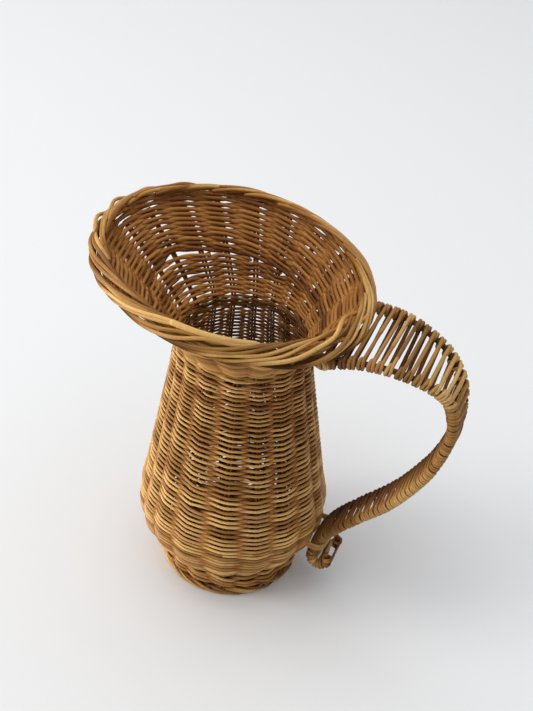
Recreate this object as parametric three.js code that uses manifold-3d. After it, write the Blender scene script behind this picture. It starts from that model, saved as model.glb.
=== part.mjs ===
// A wicker pitcher: a woven jug with a waisted neck, a wide tilted mouth and a laced loop handle.
// Millimetres, +Z up. The handle points along +X and the spout along -X.
import * as THREE from 'three';
import Module from 'manifold-3d';
import { mergeVertices } from 'three/addons/utils/BufferGeometryUtils.js';

const wasm = await Module();
wasm.setup();

// Driving dimensions
// Where the stakes stand round the wall, in degrees from the handle. They are set by eye, so the
// bays between them differ in width.
const STAKE_AZIMUTHS = [
  4.8, 20.6, 36.4, 52.2, 69.7, 86.8, 103.9, 123.5, 141.3, 161.5,
  179.7, 196, 212.3, 228.6, 244.6, 264.2, 287.9, 308.2, 328, 349,
];
const STAKE_PAIRS = STAKE_AZIMUTHS.length;
const STAKE_ROD = 2.6;            // one rod of the pair that each stake is
const FIT = 0.35;                 // air between pieces that touch
const FOOT_HEIGHT = 27;
const NECK_HEIGHT = 281;
const NECK_RADIUS = 59.3;
// Middle of the woven wall: height above the table, then radius
const WALL_HEIGHTS = [0, 8, 18, 27, 45, 62, 80, 118, 163, 213, 253, 281, 300];
const WALL_RADII = [69.8, 68.8, 67.3, 66.5, 77.6, 88.2, 91, 84.6, 76.8, 68.3, 61.9, 59.3, 58.9];
const RIM_LENGTH = 233.5;         // spout to handle, at the middle of the border
const RIM_WIDTH = 225;
const RIM_SHIFT = -11.8;          // towards the spout
const RIM_HEIGHT = 350.7;         // over the middle of the foot
const RIM_FALL = 0.16;            // rise per millimetre towards the spout
const RIM_DIP = 4.5;              // how far the border sags on its far side
const RIM_DIP_AZIMUTH = (137 * Math.PI) / 180;
const RIM_DIP_SPAN = 0.5;
// The border is a flat collar that slopes outwards: half its breadth and half its thickness, at
// the middle of its rods
const BORDER_BREADTH = 8.8;
const BORDER_THICKNESS = 4.2;
const BORDER_CORE = [5.2, 1.5];
const BORDER_ROD = 2.15;
const BORDER_RODS = 6;
const BORDER_TURNS = 3;
const FLARE_SPAN = 60;            // stands for the free height of the flare in the heights below
const FLARE_BEND = 1.2;           // how late the mouth opens out
const RAIL_RADIUS = 2.6;
const LACE_RADIUS = 1.2;
const LACE_STANDOFF = 0.65;
const LACE_LOOPS = 24;

// Colours of the peeled and weathered willow
const GOLD = 0xc09a5c;
const HONEY = 0xa8783c;
const STRAW = 0xcfae74;
const SHADE = 0x86592b;

const UP = new THREE.Vector3(0, 0, 1);
const ACROSS = new THREE.Vector3(0, 1, 0);
const pitcher = new THREE.Group();

function willow(color) {
  return new THREE.MeshStandardMaterial({ color, roughness: 0.62, metalness: 0 });
}

function addPiece(name, geometry, color) {
  const mesh = new THREE.Mesh(geometry, willow(color));
  mesh.name = name;
  pitcher.add(mesh);
}

// A solid through rings of points. A loop joins its last ring to its first, else both ends are capped.
function loft(rings, loop = false) {
  const sides = rings[0].length;
  const index = [];
  const bands = loop ? rings.length : rings.length - 1;
  for (let band = 0; band < bands; band += 1) {
    const low = band * sides;
    const high = ((band + 1) % rings.length) * sides;
    for (let side = 0; side < sides; side += 1) {
      const next = (side + 1) % sides;
      index.push(low + side, high + side, high + next, low + side, high + next, low + next);
    }
  }
  if (!loop) {
    const last = (rings.length - 1) * sides;
    for (let side = 1; side < sides - 1; side += 1) {
      index.push(0, side, side + 1, last, last + side + 1, last + side);
    }
  }
  const points = rings.flat();
  let volume = 0;
  for (let corner = 0; corner < index.length; corner += 3) {
    const [a, b, c] = [points[index[corner]], points[index[corner + 1]], points[index[corner + 2]]];
    volume += a.dot(new THREE.Vector3().crossVectors(b, c));
  }
  if (volume < 0) index.reverse();
  const geometry = new THREE.BufferGeometry().setFromPoints(points);
  geometry.setIndex(index);
  return geometry;
}

// A section carried along a path. sideAt gives the direction of the section's x at each point.
function sweep(path, section, sideAt, loop = false) {
  const count = path.length;
  const rings = path.map((point, step) => {
    const before = path[loop ? (step + count - 1) % count : Math.max(step - 1, 0)];
    const after = path[loop ? (step + 1) % count : Math.min(step + 1, count - 1)];
    const along = after.clone().sub(before).normalize();
    const side = sideAt(step).clone().addScaledVector(along, -sideAt(step).dot(along)).normalize();
    const out = new THREE.Vector3().crossVectors(along, side);
    return section.map(({ x, y }) => point.clone().addScaledVector(side, x).addScaledVector(out, y));
  });
  return loft(rings, loop);
}

function roundSection(radius, sides) {
  return Array.from({ length: sides }, (_, side) => {
    const angle = (2 * Math.PI * side) / sides;
    return new THREE.Vector2(radius * Math.cos(angle), radius * Math.sin(angle));
  });
}

function boxSection(width, thickness) {
  const [x, y] = [width / 2, thickness / 2];
  return [[-x, -y], [x, -y], [x, y], [-x, y]].map(([a, b]) => new THREE.Vector2(a, b));
}

function toSolid(geometry) {
  const bare = geometry.clone();
  bare.deleteAttribute('normal');
  bare.deleteAttribute('uv');
  const merged = mergeVertices(bare, 1e-4);
  return new wasm.Manifold(new wasm.Mesh({
    numProp: 3,
    vertProperties: new Float32Array(merged.attributes.position.array),
    triVerts: new Uint32Array(merged.index.array),
  }));
}

function fromSolid(solid) {
  const mesh = solid.getMesh();
  const geometry = new THREE.BufferGeometry();
  geometry.setAttribute('position', new THREE.BufferAttribute(mesh.vertProperties, 3));
  geometry.setIndex(new THREE.BufferAttribute(mesh.triVerts, 1));
  return geometry;
}

// The woven surface. Up to the neck a height is a true height; above it, it runs up the flare to
// the underside of the border, which lies higher on the spout's side than on the handle's.
const wallRadius = new THREE.CubicInterpolant(WALL_HEIGHTS, WALL_RADII, 1);

function rimPoint(azimuth) {
  const x = RIM_SHIFT + (RIM_LENGTH / 2) * Math.cos(azimuth);
  const fromDip = Math.atan2(Math.sin(azimuth - RIM_DIP_AZIMUTH), Math.cos(azimuth - RIM_DIP_AZIMUTH));
  const dip = RIM_DIP * Math.exp(-((fromDip / RIM_DIP_SPAN) ** 2));
  return new THREE.Vector3(x, (RIM_WIDTH / 2) * Math.sin(azimuth), RIM_HEIGHT - RIM_FALL * x - dip);
}

function wovenPoint(azimuth, height) {
  const ring = new THREE.Vector3(Math.cos(azimuth), Math.sin(azimuth), 0);
  if (height <= NECK_HEIGHT) {
    return ring.multiplyScalar(wallRadius.evaluate(height)[0]).setZ(height);
  }
  const neck = ring.multiplyScalar(NECK_RADIUS).setZ(NECK_HEIGHT);
  const rise = rimPoint(azimuth).sub(neck);
  const slant = Math.hypot(FLARE_BEND * rise.x, FLARE_BEND * rise.y, rise.z);
  const reach = 1 - (BORDER_THICKNESS + BORDER_ROD + FIT) / slant;
  const share = ((height - NECK_HEIGHT) / FLARE_SPAN) * reach;
  const opening = share ** FLARE_BEND;
  return neck.add(new THREE.Vector3(rise.x * opening, rise.y * opening, rise.z * share));
}

function wovenNormal(azimuth, height) {
  const step = 0.02;
  const lift = wovenPoint(azimuth, height + 1).sub(wovenPoint(azimuth, height - 1));
  const turn = wovenPoint(azimuth + step, height).sub(wovenPoint(azimuth - step, height));
  return turn.cross(lift).normalize();
}

// The azimuth of a stake by its number. A half number is the middle of the bay after it.
function stakeAzimuth(number) {
  const before = Math.floor(number);
  const turns = (stake) => Math.floor(stake / STAKE_PAIRS);
  const degrees = (stake) => STAKE_AZIMUTHS[stake - STAKE_PAIRS * turns(stake)] + 360 * turns(stake);
  const part = number - before;
  return THREE.MathUtils.degToRad(degrees(before) * (1 - part) + degrees(before + 1) * part);
}

// Stakes: pairs of rods, side by side, from the foot's border up to the rim's border
const FLARE_TOP = NECK_HEIGHT + FLARE_SPAN;
const stakeHeights = [8.6, 18, 27, 45, 62, 85, 118, 163, 213, 253, 281, 300, 320, 340];

function stakeSolid(pair, growth, heights) {
  const azimuth = stakeAzimuth(pair);
  const side = new THREE.Vector3(-Math.sin(azimuth), Math.cos(azimuth), 0);
  const path = heights.map((height) => wovenPoint(azimuth, height));
  return sweep(path, boxSection(2 * STAKE_ROD + 2 * growth, STAKE_ROD + 2 * growth), () => side);
}

const roomHeights = [6, ...stakeHeights.slice(1, -1), FLARE_TOP + 2];
let strandRoom = wasm.Manifold.union(
  Array.from({ length: STAKE_PAIRS }, (_, pair) => toSolid(stakeSolid(pair, FIT, roomHeights))),
);
for (let pair = 0; pair < STAKE_PAIRS; pair += 1) {
  const name = `stake_pair_${String(pair + 1).padStart(2, '0')}`;
  addPiece(name, stakeSolid(pair, 0, stakeHeights), SHADE);
}

// Handle: two rails, wide apart under the rim and close together below, ending in a scroll.
// Each station is the distance from the pitcher's axis, the height, and half the distance
// between the rails.
const railStations = [
  [72.5, 312, 56.5], [81.7, 313.5, 49.6], [98.4, 316.8, 45.4], [116.4, 320.1, 41.2],
  [136.6, 320.2, 37.6], [157.7, 315.6, 32.3], [177.5, 307, 26.7], [192, 293.5, 20.2],
  [199, 275, 16.6], [201, 250, 16.5], [194.3, 217, 16], [183.5, 189, 16], [161.3, 150, 15.6],
  [133, 115.7, 15], [110.5, 87.2, 15.2], [101, 70, 15.4], [95, 53, 15.4], [95.7, 40.8, 15.4],
  [104.3, 36.2, 15], [112, 43.8, 14.8], [109.2, 54.5, 14.6],
];
const handleLine = new THREE.CatmullRomCurve3(railStations.map(([x, z]) => new THREE.Vector3(x, 0, z)));
const handleWidth = new THREE.CatmullRomCurve3(railStations.map((s, i) => new THREE.Vector3(i, s[2], 0)));

// The rails' middle, direction and half width at a share of the handle's stations
function handleAt(share) {
  return {
    middle: handleLine.getPoint(share),
    along: handleLine.getTangent(share),
    half: handleWidth.getPoint(share).y,
  };
}

const RAIL_STEPS = 44;
function railPath(hand) {
  return Array.from({ length: RAIL_STEPS + 1 }, (_, step) => {
    const { middle, half } = handleAt(step / RAIL_STEPS);
    return middle.addScaledVector(ACROSS, hand * half);
  });
}
for (const [name, hand] of [['handle_rail_near', -1], ['handle_rail_far', 1]]) {
  addPiece(name, sweep(railPath(hand), roundSection(RAIL_RADIUS, 6), () => ACROSS), GOLD);
  const room = sweep(railPath(hand), roundSection(RAIL_RADIUS + FIT, 6), () => ACROSS);
  strandRoom = strandRoom.add(toSolid(room));
}

// A strand wound round both rails, from one share of the handle's stations to another
const LACE_STEPS = 10;
const laceRadius = RAIL_RADIUS + LACE_STANDOFF + LACE_RADIUS;
function shareAtLength(from, to, portion) {
  const samples = 200;
  const lengths = [0];
  for (let i = 1; i <= samples; i += 1) {
    const a = handleLine.getPoint(from + ((to - from) * (i - 1)) / samples);
    const b = handleLine.getPoint(from + ((to - from) * i) / samples);
    lengths.push(lengths[i - 1] + a.distanceTo(b));
  }
  const wanted = portion * lengths[samples];
  const found = Math.max(1, lengths.findIndex((length) => length >= wanted - 1e-9));
  const part = (wanted - lengths[found - 1]) / (lengths[found] - lengths[found - 1]);
  return from + ((to - from) * (found - 1 + part)) / samples;
}

function lacePoint(share, turn) {
  const { middle, along, half } = handleAt(share);
  const out = new THREE.Vector3().crossVectors(ACROSS, along).normalize();
  // five points round the outer half of each rail in turn
  const step = turn % LACE_STEPS;
  const far = step < LACE_STEPS / 2;
  const angle = (far ? step - 2 : step - 3) * (Math.PI / 4);
  const offset = far ? half : -half;
  return middle
    .addScaledVector(ACROSS, offset + laceRadius * Math.cos(angle))
    .addScaledVector(out, laceRadius * Math.sin(angle));
}

function lacing(from, to) {
  const steps = LACE_LOOPS * LACE_STEPS;
  const path = [];
  const sides = [];
  for (let step = 0; step <= steps; step += 1) {
    const share = shareAtLength(from, to, step / steps);
    path.push(lacePoint(share, step));
    sides.push(handleAt(share).along);
  }
  // straight ends, one strand's diameter long
  const start = path[0].clone().sub(path[1]).setLength(2 * LACE_RADIUS).add(path[0]);
  const end = path[steps].clone().sub(path[steps - 1]).setLength(2 * LACE_RADIUS).add(path[steps]);
  path.unshift(start);
  path.push(end);
  sides.unshift(sides[0]);
  sides.push(sides[steps]);
  return { path, sides };
}

// Least air between turns, measured on points along the strand that are over half a loop apart
function leastGap(path) {
  const fine = new THREE.CatmullRomCurve3(path, false, 'centripetal').getPoints(path.length * 3);
  const apart = Math.round((fine.length / LACE_LOOPS) * 0.6);
  let least = Infinity;
  for (let a = 0; a < fine.length; a += 1) {
    for (let b = a + apart; b < Math.min(a + 4 * apart, fine.length); b += 1) {
      least = Math.min(least, fine[a].distanceTo(fine[b]));
    }
  }
  return least - 2 * LACE_RADIUS;
}

for (const [name, from, to] of [
  ['handle_lacing', 3 / 20, 7.9 / 20], ['handle_binding', 8.2 / 20, 19.6 / 20],
]) {
  const { path, sides } = lacing(from, to);
  console.log(`${name}: least gap between turns ${leastGap(path).toFixed(2)} mm`);
  addPiece(name, sweep(path, roundSection(LACE_RADIUS, 4), (step) => sides[step]), STRAW);
}

// Lashings: one closed strand through the body's wall and round both rails at the bottom, and one
// through the flare's wall and round each rail just under the border
function closedStrand(path, side, radius = LACE_RADIUS) {
  return sweep(path, roundSection(radius, 5), () => side, true);
}

const TIE_HEIGHT = 66;
const TIE_LENGTH = 26;            // from inside the wall to outside the rails
const TIE_BEHIND_WALL = 6.5;
const TIE_HALF = 21.8;
function bodyTie() {
  const inner = wallRadius.evaluate(TIE_HEIGHT)[0] - TIE_BEHIND_WALL;
  const outer = inner + TIE_LENGTH;
  const half = TIE_HALF;
  const corner = 4;
  const path = [];
  for (const [cx, cy, first] of [
    [outer - corner, half - corner, 0], [inner + corner, half - corner, 1],
    [inner + corner, corner - half, 2], [outer - corner, corner - half, 3],
  ]) {
    for (let step = 0; step <= 3; step += 1) {
      const angle = ((first + step / 3) * Math.PI) / 2;
      path.push(new THREE.Vector3(cx + corner * Math.cos(angle), cy + corner * Math.sin(angle), TIE_HEIGHT));
    }
  }
  return path;
}

// Each of the rim's ties is an ellipse that stands upright: its middle, half its length and half
// its height
const RIM_TIE_AZIMUTH = (27.7 * Math.PI) / 180;
const RIM_TIE_MIDDLE = [93.2, 315];
const RIM_TIE_HALF = [16.5, 7.2];
const RIM_TIE_STEPS = 14;
function rimTie(hand) {
  const azimuth = hand * RIM_TIE_AZIMUTH;
  const out = new THREE.Vector3(Math.cos(azimuth), Math.sin(azimuth), 0);
  const path = Array.from({ length: RIM_TIE_STEPS }, (_, step) => {
    const angle = (2 * Math.PI * step) / RIM_TIE_STEPS;
    const reach = RIM_TIE_MIDDLE[0] + RIM_TIE_HALF[0] * Math.cos(angle);
    return out.clone().multiplyScalar(reach).setZ(RIM_TIE_MIDDLE[1] + RIM_TIE_HALF[1] * Math.sin(angle));
  });
  return { path, side: new THREE.Vector3(-out.y, out.x, 0) };
}

addPiece('lower_handle_tie', closedStrand(bodyTie(), UP), STRAW);
strandRoom = strandRoom.add(toSolid(closedStrand(bodyTie(), UP, LACE_RADIUS + FIT)));
for (const [name, hand] of [['upper_handle_tie_near', -1], ['upper_handle_tie_far', 1]]) {
  const { path, side } = rimTie(hand);
  addPiece(name, closedStrand(path, side), STRAW);
  strandRoom = strandRoom.add(toSolid(closedStrand(path, side, LACE_RADIUS + FIT)));
}

// A woven band: thick where the strands pass the stakes, thin where they cross between them
function wovenBand(heights, atStake, atCrossing) {
  const columns = Array.from({ length: 2 * STAKE_PAIRS }, (_, column) => {
    const azimuth = stakeAzimuth(column / 2);
    const half = column % 2 === 0 ? atStake : atCrossing;
    const face = (side) => (height) => wovenPoint(azimuth, height)
      .addScaledVector(wovenNormal(azimuth, height), side * half);
    return [...heights.map(face(1)), ...[...heights].reverse().map(face(-1))];
  });
  return toSolid(loft(columns, true)).subtract(strandRoom);
}

// A woven band that one sees through: rows of slots, one slot in each bay between two stakes.
// The band is a grid of cells. A cell is empty where a slot's level meets a bay.
const SLOT_ROWS = 6;
const SLOT_PITCH = 20;
const SLOT_HEIGHT = 3.8;
const FIRST_SLOT = 152;
const BRIDGE_SHARE = 0.3;         // of a bay, to each side of a stake
function openBand(bottom, top, half) {
  const levels = [bottom];
  for (let row = 0; row < SLOT_ROWS; row += 1) {
    const height = FIRST_SLOT + SLOT_PITCH * row;
    levels.push(height - SLOT_HEIGHT / 2, height + SLOT_HEIGHT / 2);
  }
  levels.push(top);
  const columns = 2 * STAKE_PAIRS;
  const points = [];
  for (let column = 0; column < columns; column += 1) {
    const side = column % 2 === 0 ? -BRIDGE_SHARE : BRIDGE_SHARE;
    const azimuth = stakeAzimuth(Math.floor(column / 2) + side);
    for (const height of levels) {
      const normal = wovenNormal(azimuth, height);
      points.push(wovenPoint(azimuth, height).addScaledVector(normal, half));
      points.push(wovenPoint(azimuth, height).addScaledVector(normal, -half));
    }
  }
  const outer = (column, level) => 2 * ((column % columns) * levels.length + level);
  const inner = (column, level) => outer(column, level) + 1;
  const woven = (column, level) => level >= 0 && level < levels.length - 1
    && ((column + columns) % 2 === 0 || level % 2 === 0);
  const index = [];
  const face = (a, b, c, d) => index.push(a, b, c, a, c, d);
  for (let column = 0; column < columns; column += 1) {
    for (let level = 0; level < levels.length - 1; level += 1) {
      if (!woven(column, level)) continue;
      const [next, above] = [column + 1, level + 1];
      face(outer(column, level), outer(next, level), outer(next, above), outer(column, above));
      face(inner(column, level), inner(column, above), inner(next, above), inner(next, level));
      if (!woven(column, level - 1)) {
        face(outer(column, level), inner(column, level), inner(next, level), outer(next, level));
      }
      if (!woven(column, level + 1)) {
        face(outer(column, above), outer(next, above), inner(next, above), inner(column, above));
      }
      if (!woven(column - 1, level)) {
        face(outer(column, level), outer(column, above), inner(column, above), inner(column, level));
      }
      if (!woven(column + 1, level)) {
        face(outer(next, level), inner(next, level), inner(next, above), outer(next, above));
      }
    }
  }
  const geometry = new THREE.BufferGeometry().setFromPoints(points);
  geometry.setIndex(index);
  return toSolid(geometry).subtract(strandRoom);
}

// Half the thickness of the body's weave, at a stake and where its strands cross
const BODY_HALVES = [3.9, 1.7];
addPiece('foot_weave', fromSolid(wovenBand([8.6, 26.4], 3.3, 2.4)), HONEY);
addPiece('body_weave_lower', fromSolid(wovenBand([27.2, 36, 45, 61.7], ...BODY_HALVES)), HONEY);
addPiece('body_weave_belly', fromSolid(wovenBand([62.3, 85, 118, 139.7], ...BODY_HALVES)), HONEY);
addPiece('body_weave_upper', fromSolid(openBand(140.3, 271.6, 3.6)), HONEY);
addPiece('neck_wale', fromSolid(wovenBand([272.2, 285.4], 4.6, 3.4)), GOLD);
addPiece('flare_lower_weave', fromSolid(wovenBand([286, 297, 308.6], 3.6, 1.9)), HONEY);
addPiece('flare_upper_weave', fromSolid(wovenBand([311.6, 325, 340.4], 3.9, 2.1)), GOLD);

// Foot: a rolled border cut flat where the pitcher stands
const footSection = [
  [65.1, 0], [70.3, 0], [72.3, 2.4], [71.9, 6], [69.3, 8], [66.3, 8], [63.9, 5.6], [63.7, 2.2],
];
const footProfile = footSection.map(([r, z]) => new THREE.Vector2(r, z));
footProfile.push(footProfile[0].clone());
const footBorder = new THREE.LatheGeometry(footProfile, 2 * STAKE_PAIRS);
footBorder.rotateX(Math.PI / 2);
addPiece('foot_border', fromSolid(toSolid(footBorder)), GOLD);

// Base: a woven disc on a cross of base sticks
const BASE_RADIUS = 62.8;
const BASE_THICKNESS = 4.4;
const STICKS = 8;
const STICK_WIDTH = 3.4;
const baseDisc = new THREE.CylinderGeometry(BASE_RADIUS + 1, BASE_RADIUS, BASE_THICKNESS, 2 * STAKE_PAIRS);
baseDisc.rotateX(Math.PI / 2);
baseDisc.translate(0, 0, FOOT_HEIGHT + 4.5);
addPiece('base_weave', baseDisc, HONEY);
const slath = [];
for (let stick = 0; stick < STICKS; stick += 1) {
  const bar = new THREE.BoxGeometry(2 * BASE_RADIUS - 2, STICK_WIDTH, 3);
  bar.rotateZ((Math.PI * stick) / STICKS);
  slath.push(toSolid(bar));
}
addPiece('base_sticks', fromSolid(wasm.Manifold.union(slath).translate(0, 0, FOOT_HEIGHT + 0.4)), SHADE);

// Rim border: rods laid round a flat core, each coming over the others in turn
const BORDER_STEPS = 54;
const borderSection = new THREE.EllipseCurve(0, 0, BORDER_BREADTH, BORDER_THICKNESS);
function borderFrame(azimuth) {
  const ahead = rimPoint(azimuth + 0.01).sub(rimPoint(azimuth - 0.01)).normalize();
  const out = new THREE.Vector3().crossVectors(ahead, UP).normalize();
  const lift = new THREE.Vector3().crossVectors(out, ahead);
  return {
    centre: rimPoint(azimuth),
    outer: out.clone().sub(lift).normalize(),
    face: out.clone().add(lift).normalize(),
  };
}

function borderRod(rod) {
  return Array.from({ length: BORDER_STEPS }, (_, step) => {
    const azimuth = (2 * Math.PI * step) / BORDER_STEPS;
    const { centre, outer, face } = borderFrame(azimuth);
    const turns = (BORDER_TURNS * step) / BORDER_STEPS + rod / BORDER_RODS;
    const { x, y } = borderSection.getPointAt(turns % 1);
    return centre.addScaledVector(outer, x).addScaledVector(face, y);
  });
}

const coreFrames = Array.from({ length: 2 * STAKE_PAIRS }, (_, step) => (
  borderFrame((Math.PI * step) / STAKE_PAIRS)
));
const coreSection = roundSection(1, 8).map(({ x, y }) => (
  new THREE.Vector2(BORDER_CORE[0] * x, BORDER_CORE[1] * y)
));
const corePath = coreFrames.map(({ centre }) => centre);
addPiece('rim_core', sweep(corePath, coreSection, (step) => coreFrames[step].outer, true), SHADE);
for (let rod = 0; rod < BORDER_RODS; rod += 1) {
  addPiece(`rim_rod_${rod + 1}`, sweep(borderRod(rod), roundSection(BORDER_ROD, 4), () => UP, true), GOLD);
}

// The origin is on the table under the middle of the whole pitcher
const extent = new THREE.Box3().setFromObject(pitcher, true);
const middle = extent.getCenter(new THREE.Vector3());
pitcher.position.setX(-middle.x);
console.log(`pitcher axis at x ${(-middle.x).toFixed(3)} mm`);

export default pitcher;
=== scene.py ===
import math
import bpy
import numpy as np
from mathutils import Matrix, Vector


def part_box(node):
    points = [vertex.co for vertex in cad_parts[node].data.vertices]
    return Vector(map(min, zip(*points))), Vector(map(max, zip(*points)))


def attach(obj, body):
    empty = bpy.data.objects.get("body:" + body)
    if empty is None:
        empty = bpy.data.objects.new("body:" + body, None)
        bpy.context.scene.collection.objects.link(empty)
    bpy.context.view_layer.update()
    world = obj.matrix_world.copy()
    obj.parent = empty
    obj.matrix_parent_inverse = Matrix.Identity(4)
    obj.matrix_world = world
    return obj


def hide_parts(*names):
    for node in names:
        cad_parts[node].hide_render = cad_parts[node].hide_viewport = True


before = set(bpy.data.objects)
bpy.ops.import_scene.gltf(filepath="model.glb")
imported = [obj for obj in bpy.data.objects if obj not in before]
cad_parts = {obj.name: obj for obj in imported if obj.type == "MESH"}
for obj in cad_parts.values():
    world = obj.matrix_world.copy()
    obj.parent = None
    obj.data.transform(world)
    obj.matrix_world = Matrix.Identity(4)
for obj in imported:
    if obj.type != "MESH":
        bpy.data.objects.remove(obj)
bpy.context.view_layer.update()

# Stakes: twenty pairs of rods, side by side, from the foot's border to the mouth's border. The
# weave is worked round them, and they show only as short bars between its rows. They stand unevenly
# round the wall.

# Places are in millimetres from the pitcher's own axis, the middle of its foot. Azimuth 0 is the
# handle. Azimuths are in radians, but in degrees where they stand in a list.
MM_PER_METRE = 1000
foot_low, foot_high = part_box("foot_border")
foot_middle = [(foot_low.x + foot_high.x) / 2, (foot_low.y + foot_high.y) / 2, 0.0]
AXIS = np.array(foot_middle) * MM_PER_METRE
STAKE_AZIMUTHS = [4.8, 20.6, 36.4, 52.2, 69.7, 86.8, 103.9, 123.5, 141.3, 161.5, 179.7, 196, 212.3,
                  228.6, 244.6, 264.2, 287.9, 308.2, 328, 349]
STAKES = len(STAKE_AZIMUTHS)
NECK_HEIGHT = 281
NECK_RADIUS = 59.3
# how the mouth opens above the neck: 1 would be straight, and more starts steeper
FLARE_BEND = 1.2
# the middle of the woven wall from the foot to just past the neck
WALL_HEIGHTS = [0, 8, 18, 27, 45, 62, 80, 118, 163, 213, 253, NECK_HEIGHT, 300]
WALL_RADII = [69.8, 68.8, 67.3, 66.5, 77.6, 88.2, 91, 84.6, 76.8, 68.3, 61.9, NECK_RADIUS, 58.9]
# the middle of the mouth's border: a near-circle that leans up towards the spout, with one dip
RIM_REACH = 116.75
RIM_BREADTH = 112.5
RIM_SHIFT = -11.8
RIM_HEIGHT = 350.7
RIM_FALL = 0.16
DIP_AZIMUTH = math.radians(137)
DIP_DEPTH = 4.5
DIP_BREADTH = 0.5
# small steps along the wall, from which its directions are worked out
SMALL_TURN = 0.01
SMALL_RISE = 0.5
SMALL_CLIMB = 0.01


def unit(vectors):
    return vectors / np.maximum(np.linalg.norm(vectors, axis=-1, keepdims=True), 1e-9)


def smooth_step(part):
    """Goes from 0 to 1 as part does, but gently at both ends."""
    return part * part * (3 - 2 * part)


def smooth_curve(knots, values, at):
    """A smooth line through values at knots, with the mean slope at each knot."""
    knots, values, at = (np.asarray(item, float) for item in (knots, values, at))
    slopes = np.gradient(values, knots, axis=0)
    left = np.clip(np.searchsorted(knots, at, side="right") - 1, 0, len(knots) - 2)
    width = knots[left + 1] - knots[left]
    part = (at - knots[left]) / width
    if values.ndim > 1:
        width, part = width[:, None], part[:, None]
    low, high = values[left], values[left + 1]
    return (low + (high - low) * smooth_step(part) + width * slopes[left] * part * (1 - part) ** 2
            - width * slopes[left + 1] * part * part * (1 - part))


def angle_from(place, azimuth):
    """How far an azimuth lies past a place, between half a turn back and half a turn on."""
    return (azimuth - place + np.pi) % (2 * np.pi) - np.pi


def stake_azimuth(number):
    """Azimuth of a stake. A half number is the middle between two stakes."""
    whole, part = np.divmod(np.asarray(number, float), STAKES)
    around = STAKE_AZIMUTHS + [STAKE_AZIMUTHS[0] + 360]
    return np.radians(np.interp(part, np.arange(STAKES + 1), around)) + 2 * np.pi * whole


def rim_point(azimuth):
    x = RIM_SHIFT + RIM_REACH * np.cos(azimuth)
    dip = DIP_DEPTH * np.exp(-(angle_from(DIP_AZIMUTH, azimuth) / DIP_BREADTH) ** 2)
    return np.stack([x, RIM_BREADTH * np.sin(azimuth), RIM_HEIGHT - RIM_FALL * x - dip], -1)


def wall_point(azimuth, height, climb):
    """The middle of the woven wall. Height serves up to the neck, and climb, 0 to 1, runs from the
    neck to the middle of the mouth's border."""
    ring = np.stack([np.cos(azimuth), np.sin(azimuth), np.zeros_like(azimuth)], -1)
    body = ring * smooth_curve(WALL_HEIGHTS, WALL_RADII, np.minimum(height, NECK_HEIGHT))[:, None]
    body[:, 2] = height
    neck = ring * NECK_RADIUS
    neck[:, 2] = NECK_HEIGHT
    spread = np.stack([climb ** FLARE_BEND, climb ** FLARE_BEND, climb], -1)
    return np.where((climb > 0)[:, None], neck + (rim_point(azimuth) - neck) * spread, body)


def wall_frame(azimuth, height, climb):
    """Middle, outward normal and up-the-wall direction of the woven wall, for arrays of places."""
    azimuth, height, climb = np.broadcast_arrays(azimuth, height, climb)
    up = np.where(climb > 0, SMALL_CLIMB, 0.0)
    rise = unit(wall_point(azimuth, height + SMALL_RISE, climb + up)
                - wall_point(azimuth, height - SMALL_RISE, np.maximum(climb - up, 0)))
    turn = unit(wall_point(azimuth + SMALL_TURN, height, climb)
                - wall_point(azimuth - SMALL_TURN, height, climb))
    return wall_point(azimuth, height, climb), unit(np.cross(turn, rise)), rise


# Willow: every part of the pitcher is peeled willow rod, so every piece is a bundle of round rods.
# Each rod carries its own tone, and a place along and round itself that its grain follows.

# corners round a rod
THIN_SIDES = 6
LACING_SIDES = 7
THICK_SIDES = 8
RIM_SIDES = 10
# how long and how thick the blunted tip of a rod is, as parts of its radius
TIP_LENGTH = 0.4
TIP_GIRTH = 0.55
UP = (0, 0, 1)
# how far along the grain one rod of a piece lies from the next, in millimetres, so that no two look
# alike
GRAIN_APART = 1371.0
GRAIN_BY_TONE = 97.0
# corners of the faces along a rod
QUAD = 4


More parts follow.
